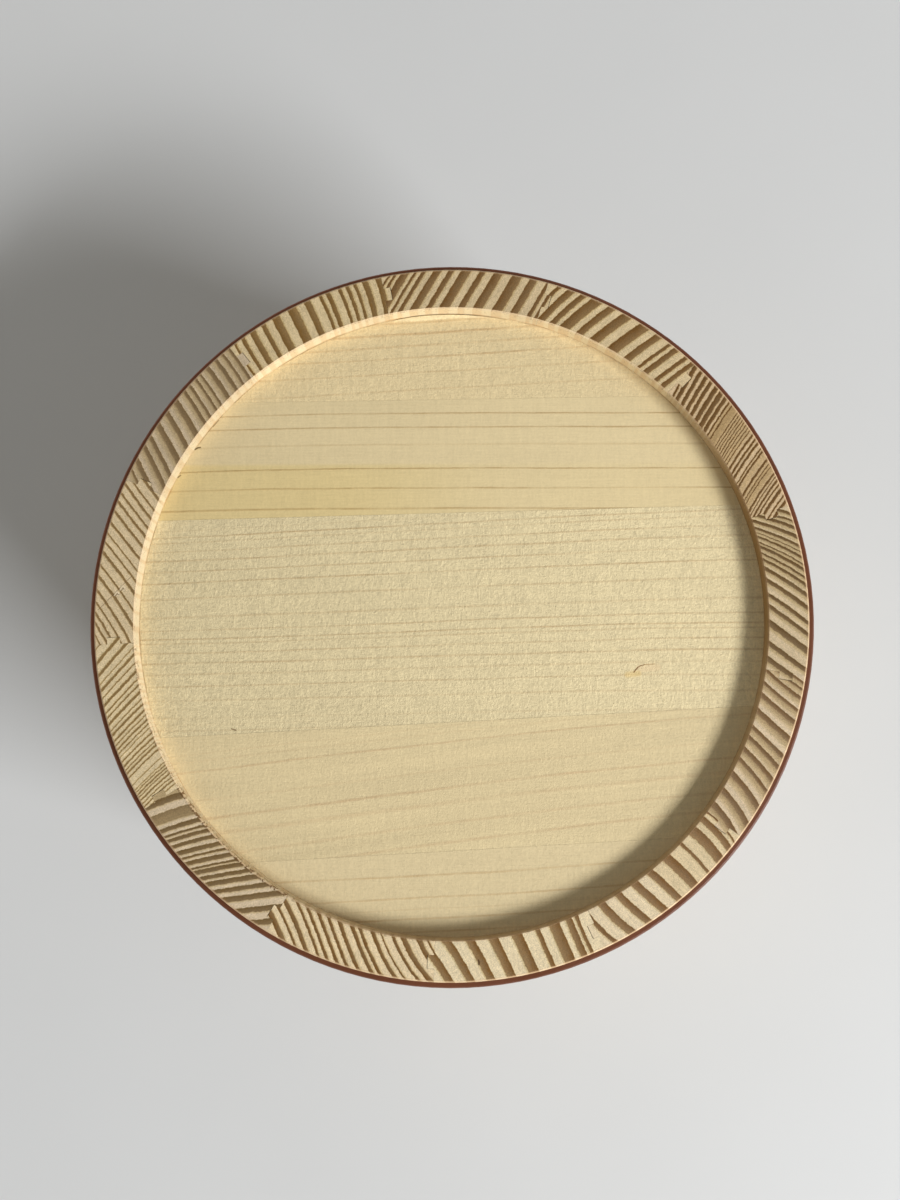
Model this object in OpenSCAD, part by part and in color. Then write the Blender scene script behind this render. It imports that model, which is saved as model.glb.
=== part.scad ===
// Stave-built wooden bath bucket, standing on its rim with its bottom upwards.
// Thirteen tapered staves are tongued and grooved edge to edge and held by two
// hoops. A bottom of five edge-glued boards sits in a groove cut round the inside
// of the staves, a little below their ends. Z = 0 is the plane of the rim.

/* [Overall] */
// Outer diameter of the staves at the rim
rim_diameter = 225; // [180:1:300]
// Outer diameter of the staves at the bottom end
foot_diameter = 209; // [170:1:280]
// Height of the bucket, rim to bottom end
bucket_height = 110; // [80:1:200]

/* [Staves] */
// Number of staves round the bucket
stave_count = 13; // [9:1:17]
// Angle of the first joint between staves, counter-clockwise from X
first_joint_angle = 18.3; // [0:0.1:27]
// Wall thickness of the staves
wall_thickness = 12; // [10:0.1:16]
// Gap left by the glue line between two staves
stave_joint_gap = 0.04; // [0.02:0.01:0.1]
// Bevel on the outer edge of the bottom end
foot_outer_bevel = 0.45; // [0.3:0.05:2]
// Bevel on the inner edge of the bottom end
foot_inner_bevel = 0.35; // [0.1:0.05:1]
// Rounding of both edges of the rim
rim_round = 2.2; // [0.5:0.1:3.5]

/* [Tongue and groove] */
// Thickness of the tongue, across the wall
tongue_width = 3.8; // [2.5:0.1:4.5]
// Distance from the outside of the wall to the middle of the tongue
tongue_setback = 5.8; // [4:0.1:8]
// How far the tongue stands out of the stave's edge
tongue_length = 2.0; // [1:0.1:3]
// Clearance on each side of the tongue
tongue_side_clearance = 0.05; // [0.02:0.01:0.15]
// Clearance past the tip of the tongue
tongue_tip_clearance = 0.15; // [0.05:0.05:0.5]

/* [Bottom] */
// Depth of the bottom below the ends of the staves
recess_depth = 5; // [3:0.1:12]
// Thickness of the bottom boards
board_thickness = 9; // [6:0.5:14]
// Depth of the groove that holds the bottom, at half the board's thickness
groove_depth = 2.6; // [1.5:0.1:2.8]
// Clearance round the edge of the bottom, in the groove
groove_edge_clearance = 0.1; // [0.05:0.05:0.3]
// Clearance over and under the bottom, in the groove
groove_face_clearance = 0.04; // [0.02:0.01:0.15]
// Bevel on the edges of the bottom, to start it in the groove
board_edge_bevel = 0.6; // [0.2:0.1:1.2]
// Gap left by the glue line between two boards
board_joint_gap = 0.04; // [0.02:0.01:0.1]
// Distance of board joint 1 from the centre, towards +Y
joint_1_offset = 66.6; // [55:0.1:75]
// Slope of board joint 1
joint_1_slope = 0.6; // [-2:0.1:4]
// Distance of board joint 2 from the centre, towards +Y
joint_2_offset = 32.0; // [20:0.1:40]
// Slope of board joint 2
joint_2_slope = 1.4; // [-2:0.1:4]
// Distance of board joint 3 from the centre, towards -Y
joint_3_offset = 30.5; // [20:0.1:40]
// Slope of board joint 3
joint_3_slope = 3.1; // [-2:0.1:4]
// Distance of board joint 4 from the centre, towards -Y
joint_4_offset = 68.1; // [55:0.1:75]
// Slope of board joint 4
joint_4_slope = 3.4; // [-2:0.1:4]

/* [Hoops] */
// Thickness of the hoops
hoop_thickness = 2.4; // [1:0.1:3]
// Width of the hoop near the bottom end
foot_hoop_width = 9; // [6:0.5:16]
// Distance from the bottom end to the hoop near it
foot_hoop_setback = 3.6; // [2:0.1:15]
// Width of the hoop near the rim
rim_hoop_width = 9; // [6:0.5:16]
// Distance from the rim to the hoop near it
rim_hoop_setback = 20; // [8:0.5:30]
// Rounding of the outer edges of the hoops
hoop_edge_round = 0.7; // [0.2:0.1:0.9]
// Gap between a hoop and the staves that it binds
hoop_seat_gap = 0.03; // [0.01:0.01:0.1]

/* [Hidden] */
$fn = 96;
arc_steps = 4;
wood_stave = [0.80, 0.69, 0.48];
wood_board = [0.87, 0.79, 0.62];
hoop_brown = [0.40, 0.20, 0.12];

stave_angle = 360 / stave_count;
// The glue line as an angle, so that the joint faces stay radial
gap_angle = stave_joint_gap / (PI * foot_diameter) * 360;
// How far a cutting or joining prism reaches past the face it meets
overrun = 1;

// Half-diameters of the tapered wall at height z
function outer_r(z) = (rim_diameter + (foot_diameter - rim_diameter) * z / bucket_height) / 2;
function inner_r(z) = outer_r(z) - wall_thickness;

board_top = bucket_height - recess_depth;
board_bottom = board_top - board_thickness;
groove_top = board_top + groove_face_clearance;
groove_bottom = board_bottom - groove_face_clearance;
groove_r = inner_r((board_top + board_bottom) / 2) + groove_depth;
board_r = groove_r - groove_edge_clearance;

board_joints = [
    [joint_1_offset, joint_1_slope],
    [joint_2_offset, joint_2_slope],
    [-joint_3_offset, joint_3_slope],
    [-joint_4_offset, joint_4_slope],
];
board_count = len(board_joints) + 1;

function stave_name(i) = str("stave_", i < 9 ? "0" : "", i + 1);
function board_name(i) = str("bottom_board_", i + 1);

// Points of an arc of radius r round c, from angle a to angle b
function arc(c, r, a, b) =
    [for (s = [0 : arc_steps]) let (t = a + (b - a) * s / arc_steps) c + r * [cos(t), sin(t)]];

// Section of the wall: rounded rim, tapered faces, groove for the bottom, bevelled end
module wall_section() {
    polygon(concat(
        arc([inner_r(rim_round) + rim_round, rim_round], rim_round, 180, 270),
        arc([outer_r(rim_round) - rim_round, rim_round], rim_round, 270, 360),
        [
            [outer_r(bucket_height - foot_outer_bevel), bucket_height - foot_outer_bevel],
            [outer_r(bucket_height) - foot_outer_bevel, bucket_height],
            [inner_r(bucket_height) + foot_inner_bevel, bucket_height],
            [inner_r(bucket_height - foot_inner_bevel), bucket_height - foot_inner_bevel],
            [inner_r(groove_top), groove_top],
            [groove_r, groove_top],
            [groove_r, groove_bottom],
            [inner_r(groove_bottom), groove_bottom],
        ]
    ));
}

// Prism along the edge of a stave, near the middle of the wall and leaning with
// it. It starts past the joint face, which is the XZ plane, and ends at depth in -Y.
module edge_prism(width, depth, extra_height) {
    z0 = -extra_height;
    z1 = bucket_height + extra_height;
    function middle_r(z) = outer_r(z) - tongue_setback;
    translate([0, overrun, 0])
        rotate([90, 0, 0])
            linear_extrude(height = overrun + depth)
                polygon([
                    [middle_r(z0) - width / 2, z0],
                    [middle_r(z0) + width / 2, z0],
                    [middle_r(z1) + width / 2, z1],
                    [middle_r(z1) - width / 2, z1],
                ]);
}

// One stave, with its tongue on the clockwise edge and its groove on the other
module stave(i) {
    color(wood_stave)
        rotate([0, 0, first_joint_angle + i * stave_angle])
            difference() {
                rotate([0, 0, gap_angle / 2])
                    union() {
                        rotate_extrude(angle = stave_angle - gap_angle)
                            wall_section();
                        edge_prism(tongue_width, tongue_length, 0);
                    }
                rotate([0, 0, stave_angle + gap_angle / 2])
                    edge_prism(
                        tongue_width + 2 * tongue_side_clearance,
                        tongue_length + tongue_tip_clearance,
                        overrun
                    );
            }
}

// The round bottom before it is divided into boards, with both edges bevelled
module bottom_disc() {
    rotate_extrude()
        polygon([
            [0, board_bottom],
            [board_r - board_edge_bevel, board_bottom],
            [board_r, board_bottom + board_edge_bevel],
            [board_r, board_top - board_edge_bevel],
            [board_r - board_edge_bevel, board_top],
            [0, board_top],
        ]);
}

// Side of a board along joint j at distance x from the centre, or past the disc
function joint_y(j, x, side) =
    j < 0 ? 2 * board_r :
    j >= len(board_joints) ? -2 * board_r :
    board_joints[j][0] + x * tan(board_joints[j][1]) + side * board_joint_gap / 2;

// One board of the bottom, cut to the round
module bottom_board(i) {
    reach = board_r + overrun;
    color(wood_board)
        intersection() {
            bottom_disc();
            translate([0, 0, board_bottom - overrun])
                linear_extrude(height = board_thickness + 2 * overrun)
                    polygon([
                        [-reach, joint_y(i, -reach, 1)],
                        [reach, joint_y(i, reach, 1)],
                        [reach, joint_y(i - 1, reach, -1)],
                        [-reach, joint_y(i - 1, -reach, -1)],
                    ]);
        }
}

// A moulded band that fits the taper between heights z0 and z1, with round outer edges
module hoop(z0, z1) {
    function seat_r(z) = outer_r(z) + hoop_seat_gap;
    function face_r(z) = seat_r(z) + hoop_thickness;
    color(hoop_brown)
        rotate_extrude()
            polygon(concat(
                [[seat_r(z1), z1], [seat_r(z0), z0]],
                arc([face_r(z0 + hoop_edge_round) - hoop_edge_round, z0 + hoop_edge_round],
                    hoop_edge_round, -90, 0),
                arc([face_r(z1 - hoop_edge_round) - hoop_edge_round, z1 - hoop_edge_round],
                    hoop_edge_round, 0, 90)
            ));
}

module foot_hoop() {
    hoop(bucket_height - foot_hoop_setback - foot_hoop_width, bucket_height - foot_hoop_setback);
}

module rim_hoop() {
    hoop(rim_hoop_setback, rim_hoop_setback + rim_hoop_width);
}

for (i = [0 : stave_count - 1])
    stave(i);
for (i = [0 : board_count - 1])
    bottom_board(i);
foot_hoop();
rim_hoop();
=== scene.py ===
"""The looks of the wooden bath bucket, which stands upside down on its rim.

Every wooden piece is painted as solid wood: a ring coordinate runs through the whole piece, so the
growth rings on a stave's end and the grain on its faces belong together. Sizes in the materials are
in millimetres, and everything else is in metres.
"""

import math

import bmesh
import bpy
from mathutils import Matrix, Vector


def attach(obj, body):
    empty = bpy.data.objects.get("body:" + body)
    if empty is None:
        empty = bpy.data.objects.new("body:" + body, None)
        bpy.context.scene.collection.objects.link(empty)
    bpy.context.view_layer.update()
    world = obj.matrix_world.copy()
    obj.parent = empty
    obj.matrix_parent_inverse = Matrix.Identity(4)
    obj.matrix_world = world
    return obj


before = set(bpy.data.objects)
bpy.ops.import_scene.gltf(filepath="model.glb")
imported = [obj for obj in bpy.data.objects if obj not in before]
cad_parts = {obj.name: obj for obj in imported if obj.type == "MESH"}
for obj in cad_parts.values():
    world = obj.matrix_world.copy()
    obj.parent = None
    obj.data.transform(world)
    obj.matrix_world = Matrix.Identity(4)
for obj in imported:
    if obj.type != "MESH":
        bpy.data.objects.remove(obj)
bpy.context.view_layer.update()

# Sizes that the materials and the added piece take from the solids, in millimetres
MM_PER_M = 1000.0
HEIGHT = 110.0
WALL_LEAN = 8.0 / HEIGHT
BOARD_TOP = 105.0
STAVE_ANGLE = 360.0 / 13
MIDDLE_R = 98.8
END_INNER_R = 92.5
END_OUTER_R = 104.5
LIP_R = 92.62
# The angle from which the staves' growth rings are charted, just short of the first joint, and the
# places at which a chart is cut into curves
CHART_ANGLE = 17.9
CHART_CUTS = (-26.0, -9.0, 9.0, 26.0)
# Direction of the window: the recess wall on this side faces away from it and gets painted shade
PAINTED_SHADE_SIDE = math.radians(-35)


def srgb(r, g, b):
    """A linear colour from 0 to 255 display values."""
    return tuple(
        (c / 255 / 12.92) if c <= 10 else ((c / 255 + 0.055) / 1.055) ** 2.4 for c in (r, g, b)
    ) + (1.0,)


PLANED_EARLY = srgb(222, 204, 168)
PLANED_LATE = srgb(206, 173, 129)
AMBER = srgb(186, 146, 92)
# Brown of the painted shade on the recess wall
SHADE_BROWN = srgb(142, 108, 62)
TORN_FIBRE = srgb(204, 164, 124)
NICK_IN_END = srgb(104, 76, 44)
NICK_IN_WALL = srgb(120, 90, 54)
# Dark joint colour, also used for painted shade in the seam and painted shadow beside the lip
SEAM_AND_SHADOW = srgb(128, 96, 52)
RESIN = srgb(101, 58, 37)
TABLETOP = srgb(211, 211, 212)
# Tints that multiply a colour
GOLDEN = (1.0, 0.96, 0.78, 1.0)
SAPPY = (1.0, 0.97, 0.82, 1.0)


class Shader:
    """Builds one material's nodes. Each call returns the output socket of the node it adds."""

    def __init__(self, name):
        self.material = bpy.data.materials.new(name)
        self.material.use_nodes = True
        self.nodes = self.material.node_tree.nodes
        self.links = self.material.node_tree.links
        self.nodes.clear()

    def put(self, value, socket):
        """Links a socket, or sets a number or colour."""
        if isinstance(value, bpy.types.NodeSocket):
            self.links.new(value, socket)
        else:
            socket.default_value = value

    def math(self, operation, a, b=0.0, c=0.0, clamp=False):
        node = self.nodes.new("ShaderNodeMath")
        node.operation = operation
        node.use_clamp = clamp
        for value, socket in zip((a, b, c), node.inputs):
            self.put(value, socket)
        return node.outputs[0]

    def add(self, *terms):
        total = terms[0]
        for term in terms[1:]:
            total = self.math("ADD", total, term)
        return total

    def mul(self, *factors):
        total = factors[0]
        for factor in factors[1:]:
            total = self.math("MULTIPLY", total, factor)
        return total

    def step(self, value, low, high, out_low=0.0, out_high=1.0):
        """From out_low, where value is low, smoothly to out_high, where it is high."""
        node = self.nodes.new("ShaderNodeMapRange")
        node.interpolation_type = "SMOOTHSTEP"
        for number, amount in enumerate((value, low, high, out_low, out_high)):
            self.put(amount, node.inputs[number])
        return node.outputs[0]

    def curve(self, value, points):
        """A broken line through (value, height) points, with heights from 0 to 1."""
        low, high = points[0][0], points[-1][0]
        share = self.nodes.new("ShaderNodeMapRange")
        for number, amount in enumerate((value, low, high)):
            self.put(amount, share.inputs[number])
        node = self.nodes.new("ShaderNodeFloatCurve")
        line = node.mapping.curves[0]
        line.points[0].location = (0.0, points[0][1])
        line.points[1].location = (1.0, points[-1][1])
        for place, height in points[1:-1]:
            line.points.new((place - low) / (high - low), height)
        for point in line.points:
            point.handle_type = "VECTOR"
        node.mapping.update()
        self.links.new(share.outputs[0], node.inputs["Value"])
        return node.outputs[0]

    def fine_curve(self, value, lines, cuts):
        """The highest of several broken lines, as one curve for each stretch between the cuts.

        A curve node holds only 256 values, which over the whole stretch would blur the thin lines.
        """
        total = None
        for low, high in zip(cuts, cuts[1:]):
            places = {low, high}
            for line in lines:
                places.update(round(place, 2) for place, height in line if low < place < high)
            points = [(at, max(height_at(line, at) for line in lines)) for at in sorted(places)]
            part = self.curve(value, points)
            if total is None:
                total = part
            else:
                total = self.choose(self.math("GREATER_THAN", value, low), total, part)
        return total

    def vector(self, x, y, z):
        node = self.nodes.new("ShaderNodeCombineXYZ")
        for value, socket in zip((x, y, z), node.inputs):
            self.put(value, socket)
        return node.outputs[0]

    def noise(self, place, scale, detail=2.0, roughness=0.5):
        """Noise round 0. One unit of place over scale is the size of its blobs."""
        node = self.nodes.new("ShaderNodeTexNoise")
        self.put(place, node.inputs["Vector"])
        node.inputs["Scale"].default_value = scale
        node.inputs["Detail"].default_value = detail
        node.inputs["Roughness"].default_value = roughness
        return self.math("SUBTRACT", node.outputs["Fac"], 0.5)

    def mix(self, factor, a, b, blend="MIX"):
        node = self.nodes.new("ShaderNodeMix")
        node.data_type = "RGBA"
        node.blend_type = blend
        self.put(factor, node.inputs["Factor"])
        self.put(a, node.inputs[6])
        self.put(b, node.inputs[7])
        return node.outputs[2]

    def choose(self, factor, a, b):
        """a where factor is 0 and b where it is 1."""
        return self.math("MULTIPLY_ADD", self.math("SUBTRACT", b, a), factor, a)

    def scaled(self, colour, factor):
        """A colour made lighter or darker by a factor that varies over the surface."""
        node = self.nodes.new("ShaderNodeVectorMath")
        node.operation = "SCALE"
        self.put(colour, node.inputs[0])
        self.put(factor, node.inputs["Scale"])
        return node.outputs[0]

    def place_mm(self):
        """x, y and z of the object in millimetres."""
        coords = self.nodes.new("ShaderNodeTexCoord")
        parts = self.nodes.new("ShaderNodeSeparateXYZ")
        self.links.new(coords.outputs["Object"], parts.inputs[0])
        return [self.mul(part, MM_PER_M) for part in parts.outputs]

    def towards(self, x, y, angle):
        """How far a place lies in the direction of an angle from X, in radians."""
        return self.add(self.mul(x, math.cos(angle)), self.mul(y, math.sin(angle)))

    def radius(self, x, y):
        """Distance from the bucket's axis."""
        return self.math("SQRT", self.add(self.mul(x, x), self.mul(y, y)))

    def facing_up(self):
        """1 on a face that looks straight up or down, 0 on an upright one."""
        coords = self.nodes.new("ShaderNodeTexCoord")
        parts = self.nodes.new("ShaderNodeSeparateXYZ")
        self.links.new(coords.outputs["Normal"], parts.inputs[0])
        return self.math("ABSOLUTE", parts.outputs[2])

    def stroke(self, x, y, points, width):
        """1 on a broken line through points, down to 0 at width from it."""
        nearest = None
        for (x0, y0), (x1, y1) in zip(points, points[1:]):
            dx, dy = x1 - x0, y1 - y0
            along = self.add(self.mul(self.add(x, -x0), dx), self.mul(self.add(y, -y0), dy))
            share = self.math("MULTIPLY", along, 1.0 / (dx * dx + dy * dy), clamp=True)
            across = self.math("SUBTRACT", self.add(x, -x0), self.mul(share, dx))
            beside = self.math("SUBTRACT", self.add(y, -y0), self.mul(share, dy))
            square = self.add(self.mul(across, across), self.mul(beside, beside))
            nearest = square if nearest is None else self.math("MINIMUM", nearest, square)
        return self.step(self.math("SQRT", nearest), width, 0.3 * width)

    def marked(self, colour, x, y, name):
        """A colour with the small marks that a piece has."""
        for points, width, shade, strength in MARKS.get(name, ()):
            colour = self.mix(
                self.mul(self.stroke(x, y, points, width), strength), colour, srgb(*shade)
            )
        return colour

    def bump(self, height, depth_mm, before=None):
        """The normal of a rough surface, perhaps on top of a coarser one before it."""
        node = self.nodes.new("ShaderNodeBump")
        self.put(height, node.inputs["Height"])
        node.inputs["Distance"].default_value = depth_mm / MM_PER_M
        node.inputs["Strength"].default_value = 1.0
        if before is not None:
            self.links.new(before, node.inputs["Normal"])
        return node.outputs[0]

    def finish(self, colour, roughness, normal=None, specular=0.35):
        """Joins the colour, roughness and normal into the surface, and returns the material."""
        surface = self.nodes.new("ShaderNodeBsdfPrincipled")
        out = self.nodes.new("ShaderNodeOutputMaterial")
        self.put(colour, surface.inputs["Base Color"])
        self.put(roughness, surface.inputs["Roughness"])
        surface.inputs["Specular IOR Level"].default_value = specular
        if normal is not None:
            self.links.new(normal, surface.inputs["Normal"])
        self.links.new(surface.outputs[0], out.inputs["Surface"])
        return self.material


def height_at(line, place):
    """Height of a broken line at a place, and 0 beyond its ends."""
    for (start, low), (end, high) in zip(line, line[1:]):
        if start <= place < end:
            return low + (high - low) * (place - start) / (end - start)
    return 0.0


def band_line(start, width, strength, wood):
    """One late-wood band as a broken line of darkness along the ring coordinate.

    It starts sharply, is up to a fifth fainter at its far side, and ends over the tail.
    """
    edge, tail = 0.08, wood["tail"]
    faded = strength * max(0.8, 1.0 - 0.09 * width)
    line = [
        (-edge, 0.0),
        (edge, strength),
        (max(width - 0.2 * tail, 0.6 * width), faded),
        (width + edge, strength * wood.get("soft", 0.25)),
        (width + max(tail, 2 * edge), 0.0),
    ]
    if wood["sharp"] == "R":
        line = [(width - place, height) for place, height in reversed(line)]
    return [(start + place, height) for place, height in line]


def band_lines(wood):
    """The late wood of a stave as broken lines of darkness along the ring coordinate.

    Each band has its start, its width and perhaps its strength, and each zone its start, end and
    strength.
    """
    blur = 0.8
    lines = [
        band_line(band[0], band[1], band[2] if len(band) > 2 else 1.0, wood)
        for band in wood["bands"]
    ]
    for start, end, strength in wood.get("zones", ()):
        lines.append([
            (start - blur, 0.0), (start + blur, strength),
            (end - blur, strength), (end + blur, 0.0),
        ])
    return lines


# Growth rings of the staves, from stave_01 on, which is counter-clockwise seen from above.
# phi is the angle of the rings' normal from the clockwise direction, and bend the four terms that
# curve and fan them. bands are the starts and widths of the late wood along that normal, and a
# third number is a band's strength. sharp is the side, L or R, on which a ring ends, and on the
# other side its late wood thins out over the tail, from the strength soft. zones are wide soft
# stretches of darker wood. light and dark are the colours of early and late wood on the end grain,
# side how light the inner wall is, and nicks how torn its edge is.
STAVE_WOOD = [
    dict(phi=23.7, bend=(-0.051, -0.065, -0.014, -0.006), sharp="L", tail=0.3,
         bands=[(-22.8, 0.6), (-21.6, 1.2), (-19.5, 1.1), (-17.5, 1.1), (-15.7, 1.1), (-13.7, 1.3),
                (-11.8, 1.4), (-9.9, 1.1), (-8.1, 0.5), (-6.9, 0.4), (-4.4, 0.3), (-3.6, 0.3),
                (-2.8, 0.3), (-2.0, 0.3), (-1.2, 0.3), (-0.4, 0.3), (0.5, 0.3), (1.4, 0.3),
                (2.6, 0.6), (4.0, 0.6), (5.2, 0.7), (7.0, 0.4), (7.8, 0.6), (10.3, 0.7),
                (11.7, 0.3), (12.6, 0.3), (14.5, 0.6), (15.6, 0.3), (16.5, 0.6), (17.7, 0.5),
                (18.9, 0.9), (20.9, 0.5), (22.2, 0.9)],
         zones=[(-7.4, -4.4, 0.42), (-4.4, 2.2, 0.2), (8.6, 10.0, 0.25), (11.4, 14.4, 0.3)],
         light=(202, 175, 139), dark=(97, 65, 23), side=0.97),
    dict(phi=-23.0, bend=(-0.048, 0.011, 0.012, 0.004), sharp="L", tail=0.5,
         bands=[(-22.3, 1.2), (-19.5, 2.1), (-15.9, 1.7), (-12.9, 3.0), (-8.1, 2.1), (-3.9, 2.8),
                (1.5, 3.2), (6.9, 2.1), (11.5, 1.0), (13.6, 1.7), (17.6, 1.2), (20.1, 1.4)],
         light=(208, 185, 145), dark=(107, 73, 30), side=1.20),
    dict(phi=-28.0, bend=(-0.004, 0.008, 0.009, -0.006), sharp="L", tail=0.6,
         bands=[(-21.9, 0.6), (-20.6, 0.8), (-19.0, 2.1), (-15.9, 0.8), (-14.0, 1.1), (-11.2, 2.1),
                (-7.3, 1.5), (-4.1, 2.7), (0.8, 1.7), (4.7, 2.6), (9.9, 2.9), (15.0, 2.2),
                (19.8, 1.1), (21.9, 0.9)],
         light=(203, 180, 142), dark=(107, 74, 35), side=1.08),
    dict(phi=0.1, bend=(0.031, -0.046, 0.047, -0.004), sharp="L", tail=0.6,
         bands=[(-23.9, 0.7), (-21.3, 1.2), (-18.2, 1.9), (-14.2, 1.4), (-10.5, 2.5), (-5.2, 2.8),
                (0.1, 2.0), (4.9, 1.0), (7.0, 1.4), (10.8, 1.0), (13.1, 1.1), (15.5, 1.0),
                (18.1, 1.8), (22.1, 1.8)],
         light=(204, 182, 142), dark=(114, 83, 39), side=0.98),
    dict(phi=-20.4, bend=(0.035, 0.021, 0.013, -0.013), sharp="R", tail=1.6, soft=0.35,
         bands=[(-21.8, 0.8), (-19.6, 1.5), (-15.8, 1.4), (-12.9, 1.3), (-9.3, 1.8), (-5.1, 1.6),
                (-1.1, 1.9), (3.1, 1.2), (5.5, 1.0), (8.2, 0.9), (10.2, 0.8), (12.8, 1.5),
                (16.2, 1.3), (19.0, 0.9), (21.4, 1.0)],
         light=(188, 168, 140), dark=(113, 90, 59), side=0.82),
    dict(phi=-41.6, bend=(0.016, -0.002, -0.029, 0.016), sharp="R", tail=0.3,
         bands=[(-18.6, 0.4), (-16.7, 0.6), (-15.0, 0.6), (-12.9, 0.5), (-10.7, 0.7), (-7.8, 0.8),
                (-5.2, 0.5), (-2.4, 0.8), (0.1, 0.5), (2.3, 0.4), (4.8, 0.7), (7.7, 0.7),
                (10.2, 0.7), (12.4, 0.6), (14.8, 0.7), (17.2, 0.5), (20.1, 0.8)],
         light=(204, 182, 146), dark=(126, 99, 61), side=0.88),
    dict(phi=28.7, bend=(0.032, 0.059, -0.015, -0.011), sharp="L", tail=0.3,
         bands=[(-23.4, 0.3), (-22.3, 0.4), (-21.2, 0.3), (-20.1, 0.5), (-18.9, 0.3), (-18.1, 0.4),
                (-17.2, 0.3), (-16.4, 0.2), (-14.7, 0.2), (-12.4, 0.4), (-11.1, 0.5), (-10.0, 0.3),
                (-8.9, 0.5), (-7.5, 0.4), (-6.0, 0.2), (-5.0, 0.3), (-3.9, 0.5), (-2.6, 0.3),
                (-1.5, 0.5), (0.1, 0.6), (1.5, 0.3), (3.0, 0.7), (4.8, 0.4), (6.1, 0.4),
                (7.8, 0.7), (9.8, 0.3), (11.4, 0.7), (13.1, 0.2), (14.9, 0.8), (17.6, 0.8),
                (20.7, 0.3)],
         light=(210, 189, 151), dark=(129, 102, 61), side=0.97, nicks=0.6),
    dict(phi=-33.6, bend=(0.025, 0.043, 0.024, -0.021), sharp="R", tail=0.5,
         bands=[(-18.9, 1.5), (-15.5, 1.4), (-12.1, 1.5), (-9.3, 1.2), (-6.9, 1.4), (-4.8, 1.1),
                (-2.9, 1.3), (-1.2, 0.6), (0.3, 1.3), (2.4, 0.7), (3.9, 1.3), (6.4, 1.1),
                (8.4, 1.1), (10.1, 0.7), (11.8, 1.3), (14.4, 3.2, 0.8), (19.7, 1.8)],
         zones=[(20.4, 26.0, 0.4)],
         light=(204, 183, 153), dark=(107, 83, 48), side=0.84, nicks=1.0),
    dict(phi=39.0, bend=(0.039, -0.011, -0.076, -0.057), sharp="R", tail=0.5,
         bands=[(-22.4, 0.6), (-20.4, 1.6), (-16.2, 1.6), (-13.1, 0.9), (-9.9, 0.5), (-8.1, 1.1),
                (-5.0, 1.0), (-3.2, 1.1), (-0.2, 1.1), (2.4, 0.9), (4.5, 1.0), (6.9, 0.9),
                (9.0, 0.8), (11.7, 1.3), (14.7, 0.8), (17.3, 1.8)],
         light=(219, 197, 160), dark=(110, 76, 32), side=0.80, nicks=0.5),
    dict(phi=14.4, bend=(-0.013, 0.031, -0.024, 0.002), sharp="L", tail=0.6,
         bands=[(-21.0, 1.1), (-19.1, 2.0), (-15.4, 3.2), (-9.5, 1.4), (-4.5, 3.0), (2.1, 2.5),
                (7.9, 2.4), (13.4, 2.2), (18.8, 2.2)],
         light=(222, 203, 167), dark=(114, 78, 30), side=0.92),
    dict(phi=8.4, bend=(-0.017, 0.046, 0.074, 0.005), sharp="L", tail=0.6,
         bands=[(-24.1, 0.6), (-22.3, 2.0), (-18.5, 3.0), (-12.4, 1.0), (-7.6, 2.8), (-1.2, 2.2),
                (4.1, 2.4), (9.8, 2.1), (15.1, 2.3), (20.6, 1.3)],
         zones=[(-26.0, -1.0, 0.1)],
         light=(220, 200, 166), dark=(113, 77, 33), side=1.00),
    dict(phi=-23.6, bend=(-0.049, -0.072, -0.062, 0.047), sharp="L", tail=2.0, soft=0.5,
         bands=[(-25.4, 1.0), (-23.2, 0.9), (-20.7, 1.3), (-16.9, 1.2), (-13.6, 1.6), (-9.0, 1.9),
                (-4.0, 1.3), (-1.1, 1.4), (2.3, 1.5), (5.5, 1.3), (9.7, 1.9), (14.9, 1.9),
                (19.6, 2.1)],
         light=(208, 186, 155), dark=(105, 74, 37), side=0.84),
    dict(phi=-39.2, bend=(-0.046, -0.024, 0.038, -0.007), sharp="L", tail=1.1, soft=0.35,
         bands=[(-22.4, 1.1), (-20.2, 0.8), (-18.6, 1.1), (-16.4, 1.2), (-14.0, 0.9), (-12.4, 0.3),
                (-11.4, 0.8), (-9.7, 0.5), (-8.7, 1.0), (-6.8, 0.7), (-5.3, 0.9), (-3.2, 1.2),
                (-0.4, 1.3), (3.1, 1.1), (5.8, 1.2), (9.4, 1.9), (14.5, 1.4), (18.2, 1.5)],
         light=(202, 180, 146), dark=(94, 67, 30), side=0.88),
]


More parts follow.
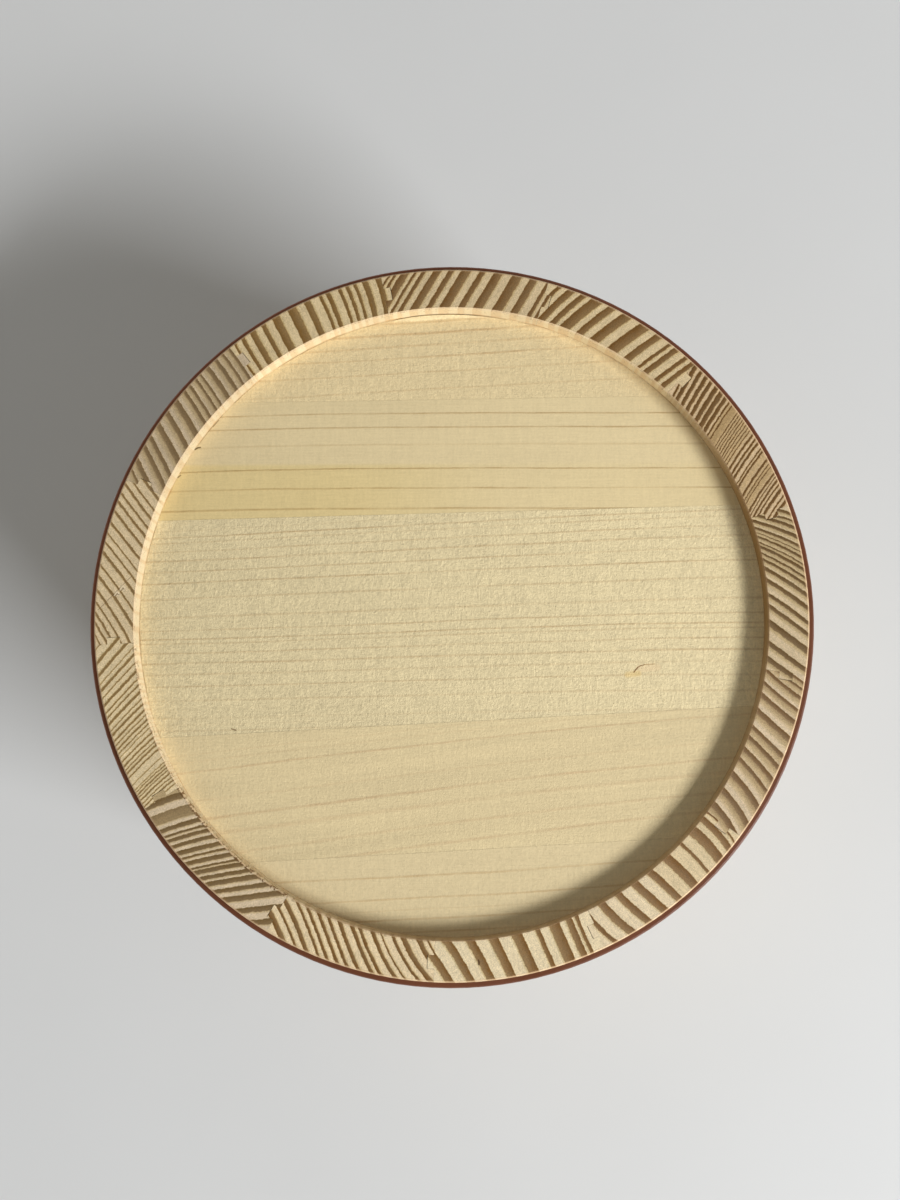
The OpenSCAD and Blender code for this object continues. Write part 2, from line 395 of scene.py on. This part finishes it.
# Small marks of the wood: the broken line in x and y that each follows, its half-width, its colour
# and its strength
MARKS = {
    "stave_06": [
        ([(-103.3, 2.4), (-99.8, 5.9), (-96.9, 9.0), (-93.2, 12.8)], 0.16, (100, 76, 48), 0.6),
        ([(-98.5, 6.7), (-97.9, 7.7), (-97.2, 7.4), (-97.5, 6.7)], 0.26, (222, 203, 172), 0.8),
        ([(-98.2, 6.6), (-97.7, 7.2), (-97.3, 6.9)], 0.16, (84, 62, 38), 0.9),
        ([(-96.9, 8.3), (-96.2, 9.5), (-95.5, 9.0), (-95.8, 8.2)], 0.26, (222, 203, 172), 0.8),
        ([(-96.5, 8.2), (-96.0, 8.9), (-95.7, 8.5)], 0.16, (84, 62, 38), 0.9),
    ],
    "stave_10": [
        ([(8.3, -98.1), (8.45, -98.6), (8.4, -99.2)], 0.42, (74, 48, 22), 0.9),
        ([(8.0, -97.6), (7.6, -97.1)], 0.3, (130, 98, 56), 0.6),
    ],
    "bottom_board_2": [
        ([(-77.1, 51.6), (-76.2, 52.1), (-75.5, 52.2)], 0.34, (88, 68, 32), 0.9),
        ([(-82.1, 43.0), (-81.3, 43.7)], 0.3, (104, 80, 44), 0.75),
        ([(-71.7, 58.6), (-70.0, 60.5)], 0.22, (120, 92, 52), 0.6),
    ],
    "bottom_board_3": [
        ([(56.2, -14.8), (58.6, -14.6), (61.2, -14.3)], 1.6, (232, 198, 154), 0.35),
        ([(52.4, -16.5), (55.6, -16.1)], 1.3, (232, 196, 120), 0.45),
        ([(54.3, -15.7), (54.9, -15.0), (55.5, -14.3)], 0.28, (128, 88, 42), 0.95),
        ([(55.5, -14.3), (56.4, -13.8), (57.6, -13.5)], 0.24, (140, 100, 54), 0.85),
        ([(57.6, -13.5), (60.5, -13.3)], 0.2, (176, 136, 84), 0.7),
        ([(-64.7, -32.5), (-63.4, -32.9)], 0.28, (112, 82, 46), 0.8),
    ],
}


def stave_material(number, wood):
    """Solid wood for one stave, upright grain, with its own growth rings on the ends."""
    s = Shader(f"stave_wood_{number + 1:02d}")
    x, y, z = s.place_mm()
    middle = math.radians(CHART_ANGLE + STAVE_ANGLE * (number + 0.5))
    below = s.math("SUBTRACT", HEIGHT, z)
    # u is outward from the middle of the wall, t clockwise, and both lean with the wall
    middle_r = s.math("MULTIPLY_ADD", below, WALL_LEAN, MIDDLE_R)
    u = s.math("SUBTRACT", s.towards(x, y, middle), middle_r)
    t = s.add(s.mul(x, math.sin(middle)), s.mul(y, -math.cos(middle)))
    along = s.vector(u, t, s.mul(z, 0.06))
    even = s.vector(u, t, z)
    # a is across the rings and b along them, both in centimetres
    phi = math.radians(wood["phi"])
    a = s.mul(s.add(s.mul(t, math.cos(phi)), s.mul(u, math.sin(phi))), 0.1)
    b = s.mul(s.add(s.mul(u, math.cos(phi)), s.mul(t, -math.sin(phi))), 0.1)
    bend, fan, bend_fan, spread = wood["bend"]
    ring = s.add(
        a,
        s.mul(b, b, bend),
        s.mul(a, b, fan),
        s.mul(a, b, b, bend_fan),
        s.mul(a, a, b, spread),
    )
    # the rings wander a little along the stave, and are as charted at the end
    wander = s.mul(s.noise(s.vector(number * 7.0, 0.0, z), 0.02, 1.0), below, 0.035)
    jitter = s.add(s.mul(s.noise(even, 1.4, 3.0, 0.65), 0.6), s.mul(s.noise(even, 4.0, 2.0), 0.25))
    ring = s.add(s.mul(ring, 10.0), wander, s.mul(s.noise(along, 0.45, 2.0), 0.45), jitter)
    late = s.fine_curve(ring, band_lines(wood), CHART_CUTS)
    end = s.step(s.facing_up(), 0.55, 0.85)

    # end grain
    blotch = s.noise(even, 0.35, 2.0)
    mottle = s.noise(even, 1.1, 3.0, 0.7)
    grain = s.noise(even, 2.8, 3.0, 0.65)
    pores = s.noise(even, 6.0, 2.0, 0.6)
    uneven = s.add(s.mul(blotch, 0.5), s.mul(mottle, 0.5))
    layers = s.noise(s.vector(s.mul(ring, 0.9), s.mul(b, 1.2), number * 3.0), 1.0, 2.0, 0.6)
    late_end = s.math("MULTIPLY_ADD", s.mul(uneven, late), 0.4, late, clamp=True)
    end_colour = s.mix(late_end, srgb(*wood["light"]), srgb(*wood["dark"]))
    # half-dark wood is golden
    half_dark = s.mul(late_end, s.math("SUBTRACT", 1.0, late_end), 4.0)
    end_colour = s.mix(half_dark, end_colour, GOLDEN, "MULTIPLY")
    speckle = s.add(
        s.mul(layers, 0.35),
        s.mul(blotch, 0.3),
        s.mul(mottle, 0.7),
        s.mul(grain, 1.2),
        s.mul(pores, 0.9),
    )
    end_colour = s.scaled(end_colour, s.add(1.0, speckle))

    # planed long grain
    fibre = s.noise(s.vector(u, t, s.mul(z, 0.03)), 2.6, 3.0, 0.6)
    side_colour = s.mix(s.mul(late, 0.5), PLANED_EARLY, PLANED_LATE)
    side_shade = s.add(1.0, s.mul(fibre, 0.14), s.mul(blotch, 0.05))
    inside = s.step(u, -1.0, -2.0)
    lightness = wood["side"]
    side_shade = s.mul(side_shade, s.choose(inside, 0.42 + 0.42 * lightness, lightness))
    side_colour = s.scaled(side_colour, side_shade)
    # the foot of the inner wall is amber in patches
    amber_foot = s.mul(s.step(z, BOARD_TOP + 1.0, BOARD_TOP + 0.3), s.step(z, 80.0, 90.0), inside)
    amber_foot = s.mul(amber_foot, s.step(s.noise(even, 0.12, 2.0), -0.12, 0.08, 0.2, 0.75))
    side_colour = s.mix(amber_foot, side_colour, AMBER)
    # painted shade: on the window's side, where the recess wall faces away from the window, the
    # whole wall is darkened to brown, most of all towards +X
    painted_shade = s.add(
        s.step(s.towards(x, y, PAINTED_SHADE_SIDE), -0.1 * END_INNER_R, 0.65 * END_INNER_R, 0.0, 0.7),
        s.step(s.add(x, s.mul(y, 0.2)), 0.9 * END_INNER_R, 1.02 * END_INNER_R, 0.0, 0.25),
    )
    painted_shade = s.mul(painted_shade, inside, s.step(z, BOARD_TOP - 2.0, BOARD_TOP - 1.0))
    side_colour = s.mix(painted_shade, side_colour, SHADE_BROWN)

    # torn fibres lie over both edges of the end, and hide the rings there
    radius = s.radius(x, y)
    torn = s.add(radius, s.mul(s.noise(even, 1.6, 3.0, 0.65), 0.9))
    inner_edge = s.step(torn, END_INNER_R + 0.55, END_INNER_R + 0.2, 0.0, 0.65)
    outer_edge = s.step(torn, END_OUTER_R - 0.8, END_OUTER_R - 0.3, 0.0, 0.55)
    end_colour = s.mix(s.math("MAXIMUM", inner_edge, outer_edge), end_colour, TORN_FIBRE)
    # and some leave dark nicks along the inner one
    nicks = wood.get("nicks", 0.3)
    nick = s.step(s.noise(even, 1.1, 3.0, 0.7), 0.08 - 0.08 * nicks, 0.13 - 0.06 * nicks)
    nick = s.mul(nick, nicks, s.step(radius, END_INNER_R + 1.1, END_INNER_R + 0.6))
    end_colour = s.mix(nick, end_colour, NICK_IN_END)
    nick = s.mul(nick, inside, s.step(below, 3.5, 1.5))
    side_colour = s.mix(nick, side_colour, NICK_IN_WALL)
    end_colour = s.marked(end_colour, x, y, f"stave_{number + 1:02d}")

    colour = s.mix(end, side_colour, end_colour)
    height = s.add(s.mul(late, end, 0.2), s.mul(grain, end, 0.6), s.mul(fibre, 0.25))
    normal = s.bump(height, 0.1)
    normal = s.bump(s.mul(pores, end), 0.04, before=normal)
    roughness = s.add(0.62, s.mul(grain, 0.15), s.mul(late, -0.06))
    return s.finish(colour, roughness, normal, specular=0.25)


# Grain of the bottom boards, from the one at +Y on. shape has the tilt, bow, fan and twist of the
# lines, and lines each one's place across the grain, its half-width and its strength. rough is how
# fuzzy the plane left the face, painted_light_drift how much painted light the board gains per
# millimetre towards +X, the window's side, tone and line are the colours, and stripes is the
# strength of the wide soft stripes. sap marks the board with a yellow streak, and lip the one with
# the raised lip.
BOARD_WOOD = [
    dict(shape=(-0.0285, -0.00005, -0.00382, 0.00012), rough=0.7, painted_light_drift=0.0005,
         tone=(223, 202, 158), line=(188, 152, 106), lip=True,
         lines=[(67.5, 0.35, 0.04), (70.0, 0.42, 0.28), (72.6, 0.28, 0.03), (75.4, 0.42, 0.35),
                (77.8, 0.28, 0.03), (80.2, 0.42, 0.59), (83.8, 0.49, 0.35), (87.5, 0.56, 0.63),
                (91.0, 0.42, 0.50)]),
    dict(shape=(0.0062, 0.00086, -0.00128, -0.00008), rough=0.15, painted_light_drift=0.0011,
         tone=(220, 200, 157), line=(162, 126, 76), sap=True,
         lines=[(33.4, 0.42, 0.58), (36.4, 0.21, 0.02), (39.6, 0.35, 0.54), (42.8, 0.21, 0.02),
                (45.5, 0.28, 0.67), (49.4, 0.21, 0.02), (52.9, 0.42, 0.23), (58.1, 0.32, 0.66),
                (62.3, 0.32, 0.77), (65.0, 0.28, 0.03)]),
    dict(shape=(-0.0373, 0.00057, -0.00572, 0.00007), rough=1.0, painted_light_drift=0.0011,
         tone=(223, 205, 163), line=(178, 144, 100),
         lines=[(-31.5, 0.35, 0.25), (-29.6, 0.28, 0.11), (-27.7, 0.42, 0.18), (-25.0, 0.28, 0.04),
                (-22.3, 0.42, 0.31), (-17.9, 0.35, 0.39), (-14.2, 0.42, 0.29), (-10.8, 0.42, 0.54),
                (-7.6, 0.35, 0.43), (-4.7, 0.35, 0.32), (-3.3, 0.35, 0.55), (-0.5, 0.35, 0.51),
                (3.6, 0.49, 0.32), (6.5, 0.28, 0.03), (9.5, 0.42, 0.34), (14.4, 0.35, 0.57),
                (18.0, 0.35, 0.45), (21.5, 0.42, 0.43), (24.4, 0.35, 0.45), (27.2, 0.35, 0.36),
                (28.9, 0.35, 0.63), (31.0, 0.28, 0.15)]),
    dict(shape=(-0.0823, 0.00052, 0.00836, 0.0001), rough=0.5, painted_light_drift=0.0004,
         tone=(219, 199, 156), line=(184, 144, 104), stripes=0.22,
         lines=[(-65.6, 0.63, 0.29), (-62.6, 0.35, 0.05), (-60.0, 0.63, 0.24), (-54.0, 0.84, 0.21),
                (-49.6, 0.56, 0.41), (-44.5, 0.49, 0.15), (-39.6, 0.42, 0.02), (-36.2, 0.42, 0.37),
                (-33.4, 0.42, 0.12), (-31.5, 0.28, 0.17)]),
    dict(shape=(-0.0729, -0.00143, -0.00176, -0.00003), rough=0.35, painted_light_drift=0.0002,
         tone=(220, 200, 158), line=(186, 150, 102),
         lines=[(-91.0, 0.42, 0.44), (-87.2, 0.42, 0.50), (-84.5, 0.28, 0.19), (-81.2, 0.42, 0.47),
                (-78.0, 0.28, 0.03), (-74.8, 0.42, 0.52), (-71.0, 0.28, 0.03)]),
]


def board_material(number, wood):
    """Solid wood for one bottom board, with its grain along X."""
    s = Shader(f"board_wood_{number + 1}")
    x, y, z = s.place_mm()
    # a is across the grain and b along it, both in centimetres
    a, b = s.mul(y, 0.1), s.mul(x, 0.1)
    tilt, bow, fan, twist = wood["shape"]
    deep = s.math("SUBTRACT", BOARD_TOP, z)
    ring = s.add(a, s.mul(b, tilt), s.mul(b, b, bow), s.mul(a, b, fan), s.mul(b, b, b, twist))
    # another part of the noise for each board
    shift = 31.0 * number
    wander = s.mul(s.noise(s.vector(s.mul(x, 0.25), y, shift), 0.12, 1.0), 0.7)
    shake = s.mul(s.noise(s.vector(s.mul(x, 0.4), y, shift), 1.1, 2.0), 0.22)
    ring = s.add(s.mul(ring, 10.0), wander, shake, s.mul(deep, 0.5))
    lines = []
    for place, width, strength in wood["lines"]:
        lines.append([
            (place - width, 0.0), (place - 0.3 * width, strength),
            (place + 0.3 * width, strength), (place + width, 0.0),
        ])
    margin, stretches = 4.0, 3
    low, high = wood["lines"][0][0] - margin, wood["lines"][-1][0] + margin
    cuts = [low + (high - low) * part / stretches for part in range(stretches + 1)]
    late = s.fine_curve(ring, lines, cuts)
    # the lines fade and break here and there
    fade = s.step(s.noise(s.vector(s.mul(x, 0.1), y, shift), 0.3, 2.0), -0.25, 0.1, 0.45, 1.0)
    gaps = s.step(s.noise(s.vector(s.mul(x, 0.15), y, shift), 1.0, 2.0), -0.2, 0.15, 0.6, 1.05)
    late = s.mul(late, fade, gaps)

    rough = wood["rough"]
    long_fibre = s.noise(s.vector(s.mul(x, 0.05), y, s.add(z, shift)), 2.2, 3.0, 0.6)
    cross = s.noise(s.vector(s.mul(x, 1.6), s.mul(y, 0.55), s.add(z, shift)), 1.1, 3.0, 0.7)
    chatter = s.noise(s.vector(x, s.mul(y, 0.16), s.add(z, shift)), 0.9, 2.0, 0.6)
    fuzz = s.noise(s.vector(s.mul(x, 0.8), y, s.add(z, shift)), 1.5, 3.0, 0.75)
    blotch = s.noise(s.vector(s.mul(x, 0.35), y, shift), 0.06, 2.0)
    stripes = s.noise(s.vector(ring, s.mul(x, 0.03), shift), 0.35, 2.0)
    colour = s.mix(late, srgb(*wood["tone"]), srgb(*wood["line"]))
    if wood.get("sap"):
        # a yellower streak along the lower half, towards -X
        sap = s.mul(s.step(y, 47.5, 46.0), s.step(x, 25.0, -40.0, 0.2, 1.0))
        colour = s.mix(sap, colour, SAPPY, "MULTIPLY")
    shade = s.add(
        1.0,
        # painted light: the board grows lighter towards +X, the window's side
        s.mul(x, wood["painted_light_drift"]),
        s.mul(long_fibre, 0.14),
        s.mul(blotch, 0.08),
        s.mul(stripes, wood.get("stripes", 0.05)),
        s.mul(fuzz, 0.13 + 0.48 * rough),
        s.mul(cross, 0.08 + 0.3 * rough),
        s.mul(chatter, 0.1 + 0.16 * rough),
    )
    colour = s.scaled(colour, shade)
    # a dark seam runs along the foot of the lit wall, a dark joint with painted shade in its gap,
    # and beside the raised lip a painted shadow of the gap behind the lip
    seam_and_shadow = s.step(s.noise(s.vector(x, y, shift), 0.1, 2.0), -0.1, 0.15, 0.05, 0.5)
    seam_and_shadow = s.mul(seam_and_shadow, s.step(s.math("SUBTRACT", y, x), 0.0, 80.0))
    if wood.get("lip"):
        # painted shadow of the gap behind the raised lip
        beside = s.step(s.math("ABSOLUTE", s.add(x, 1.5)), 12.5, 8.0)
        seam_and_shadow = s.math("MAXIMUM", seam_and_shadow, s.mul(beside, 0.9))
    seam_and_shadow = s.mul(seam_and_shadow, s.step(s.radius(x, y), LIP_R - 0.15, LIP_R + 0.05))
    colour = s.mix(seam_and_shadow, colour, SEAM_AND_SHADOW)
    colour = s.marked(colour, x, y, f"bottom_board_{number + 1}")
    height = s.add(
        s.mul(late, 0.25),
        s.mul(long_fibre, 0.25),
        s.mul(fuzz, 0.2 + 1.2 * rough),
        s.mul(cross, 0.9 * rough),
    )
    normal = s.bump(height, 0.15)
    return s.finish(colour, s.add(0.55, s.mul(fuzz, 0.15)), normal, specular=0.3)


def hoop_material():
    """Semi-gloss copper-brown resin with faint streaks round the hoop."""
    s = Shader("hoop_resin")
    x, y, z = s.place_mm()
    streak = s.noise(s.vector(s.mul(x, 0.05), s.mul(y, 0.05), z), 1.4, 3.0)
    cloud = s.noise(s.vector(x, y, z), 0.08, 2.0)
    # painted light: up to twice as light on the side away from the window, where the hoop is in
    # shade
    painted_light = s.step(s.towards(x, y, PAINTED_SHADE_SIDE), -20.0, -90.0, 1.0, 2.0)
    shade = s.add(1.0, s.mul(streak, 0.25), s.mul(cloud, 0.3))
    colour = s.scaled(RESIN[:3], s.mul(shade, painted_light))
    normal = s.bump(s.add(streak, s.noise(s.vector(x, y, z), 1.5, 2.0)), 0.05)
    return s.finish(colour, s.add(0.34, s.mul(cloud, 0.2)), normal, specular=0.5)


def paint(node, material):
    """Gives a solid its material."""
    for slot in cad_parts[node].material_slots:
        slot.material = material


for index, wood in enumerate(STAVE_WOOD):
    paint(f"stave_{index + 1:02d}", stave_material(index, wood))
board_woods = [board_material(index, wood) for index, wood in enumerate(BOARD_WOOD)]
for index, material in enumerate(board_woods):
    paint(f"bottom_board_{index + 1}", material)
resin = hoop_material()
paint("foot_hoop", resin)
paint("rim_hoop", resin)


# Width of the lip along the wall's foot: degrees counter-clockwise from X, and millimetres
LIP_WIDTHS = [
    (80.5, 0.02), (82.9, 0.4), (86.3, 0.75), (89.1, 1.0), (91.9, 1.2), (94.8, 1.3), (97.6, 1.1),
    (99.5, 0.6), (101.2, 0.02),
]
LIP_PARTS = 6
# Section of the lip from its inner foot over the crest to its outer foot: inward in shares of the
# width, and up in shares of it too, except that its feet are at this depth in millimetres
LIP_FOOT = -0.05
LIP_SECTION = [(1.0, LIP_FOOT), (0.6, 0.26), (0.15, 0.56), (0.0, 0.5), (0.0, LIP_FOOT)]


def raised_lip():
    """The edge of the first board stands up along the wall's foot as a thin sharp lip."""
    stations = []
    for (start, low), (end, high) in zip(LIP_WIDTHS, LIP_WIDTHS[1:]):
        for part in range(LIP_PARTS):
            share = part / LIP_PARTS
            stations.append((start + (end - start) * share, low + (high - low) * share))
    stations.append(LIP_WIDTHS[-1])
    points, faces, count = [], [], len(LIP_SECTION)
    for degrees, width in stations:
        angle = math.radians(degrees)
        for inward, up in LIP_SECTION:
            radius = LIP_R - inward * width
            height = BOARD_TOP + (up if up == LIP_FOOT else up * width)
            place = (radius * math.cos(angle), radius * math.sin(angle), height)
            points.append(tuple(part / MM_PER_M for part in place))
    for row in range(len(stations) - 1):
        for side in range(count):
            after = (side + 1) % count
            faces.append((
                row * count + side, row * count + after,
                (row + 1) * count + after, (row + 1) * count + side,
            ))
    last = (len(stations) - 1) * count
    faces.append(tuple(reversed(range(count))))
    faces.append(tuple(range(last, last + count)))
    mesh = bpy.data.meshes.new("raised_lip")
    mesh.from_pydata(points, [], faces)
    body = bmesh.new()
    body.from_mesh(mesh)
    bmesh.ops.recalc_face_normals(body, faces=body.faces)
    body.to_mesh(mesh)
    body.free()
    mesh.materials.append(board_woods[0])
    piece = bpy.data.objects.new("raised_lip", mesh)
    bpy.context.scene.collection.objects.link(piece)
    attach(piece, "root")


def floor():
    """A plain pale tabletop."""
    s = Shader("pale_floor")
    x, y, z = s.place_mm()
    mottle = s.noise(s.vector(x, y, z), 0.01, 3.0)
    colour = s.scaled(TABLETOP[:3], s.add(1.0, s.mul(mottle, 0.05)))
    half = 4.0
    mesh = bpy.data.meshes.new("floor")
    corners = [(-half, -half, 0), (half, -half, 0), (half, half, 0), (-half, half, 0)]
    mesh.from_pydata(corners, [], [(0, 1, 2, 3)])
    mesh.materials.append(s.finish(colour, 0.6))
    made = bpy.data.objects.new("floor", mesh)
    bpy.context.scene.collection.objects.link(made)


def aimed(where, at):
    """Rotation that points a lamp from one place at another."""
    return (Vector(at) - Vector(where)).to_track_quat("-Z", "Y").to_euler()


def lights():
    """A low window to the lower right, and a surround that is pale all round and dim overhead."""
    azimuth, elevation, distance = math.radians(-34.3), math.radians(31.3), 3.0
    target = Vector((0.0, 0.0, 0.1))
    where = target + distance * Vector((
        math.cos(elevation) * math.cos(azimuth),
        math.cos(elevation) * math.sin(azimuth),
        math.sin(elevation),
    ))
    lamp = bpy.data.lights.new("window", "AREA")
    lamp.shape = "RECTANGLE"
    lamp.size, lamp.size_y = 1.55, 0.68
    lamp.energy = 119.0
    lamp.color = (0.97, 0.99, 1.0)
    made = bpy.data.objects.new("window", lamp)
    made.location = where
    made.rotation_euler = aimed(where, target)
    bpy.context.scene.collection.objects.link(made)

    world = bpy.data.worlds.new("surround")
    bpy.context.scene.world = world
    world.use_nodes = True
    nodes, links = world.node_tree.nodes, world.node_tree.links
    nodes.clear()
    coords, parts = nodes.new("ShaderNodeTexCoord"), nodes.new("ShaderNodeSeparateXYZ")
    strength, light = nodes.new("ShaderNodeMapRange"), nodes.new("ShaderNodeBackground")
    out = nodes.new("ShaderNodeOutputWorld")
    # the height of a direction at which the surround starts and stops to dim, and its strengths
    low, high, pale, dim = 0.2, 0.7, 1.05, 0.12
    for number, value in enumerate((low, high, pale, dim), 1):
        strength.inputs[number].default_value = value
    light.inputs["Color"].default_value = (1.0, 0.985, 0.915, 1.0)
    links.new(coords.outputs["Generated"], parts.inputs[0])
    links.new(parts.outputs[2], strength.inputs[0])
    links.new(strength.outputs[0], light.inputs["Strength"])
    links.new(light.outputs[0], out.inputs["Surface"])


def camera():
    """The photograph's view: from close above, a little off the axis."""
    data = bpy.data.cameras.new("camera")
    data.sensor_width = 36.0
    data.lens = 27.0
    data.shift_x, data.shift_y = -0.0089, 0.042
    data.clip_start = 0.01
    made = bpy.data.objects.new("camera", data)
    sideways, upward = math.radians(0.86), math.radians(3.41)
    turn = Matrix.Rotation(sideways, 4, "Y") @ Matrix.Rotation(upward, 4, "X")
    made.matrix_world = Matrix.Translation((0.00715, -0.02514, 0.37145)) @ turn
    bpy.context.scene.collection.objects.link(made)
    bpy.context.scene.camera = made


raised_lip()
floor()
lights()
camera()
bpy.context.scene.view_settings.view_transform = "Standard"
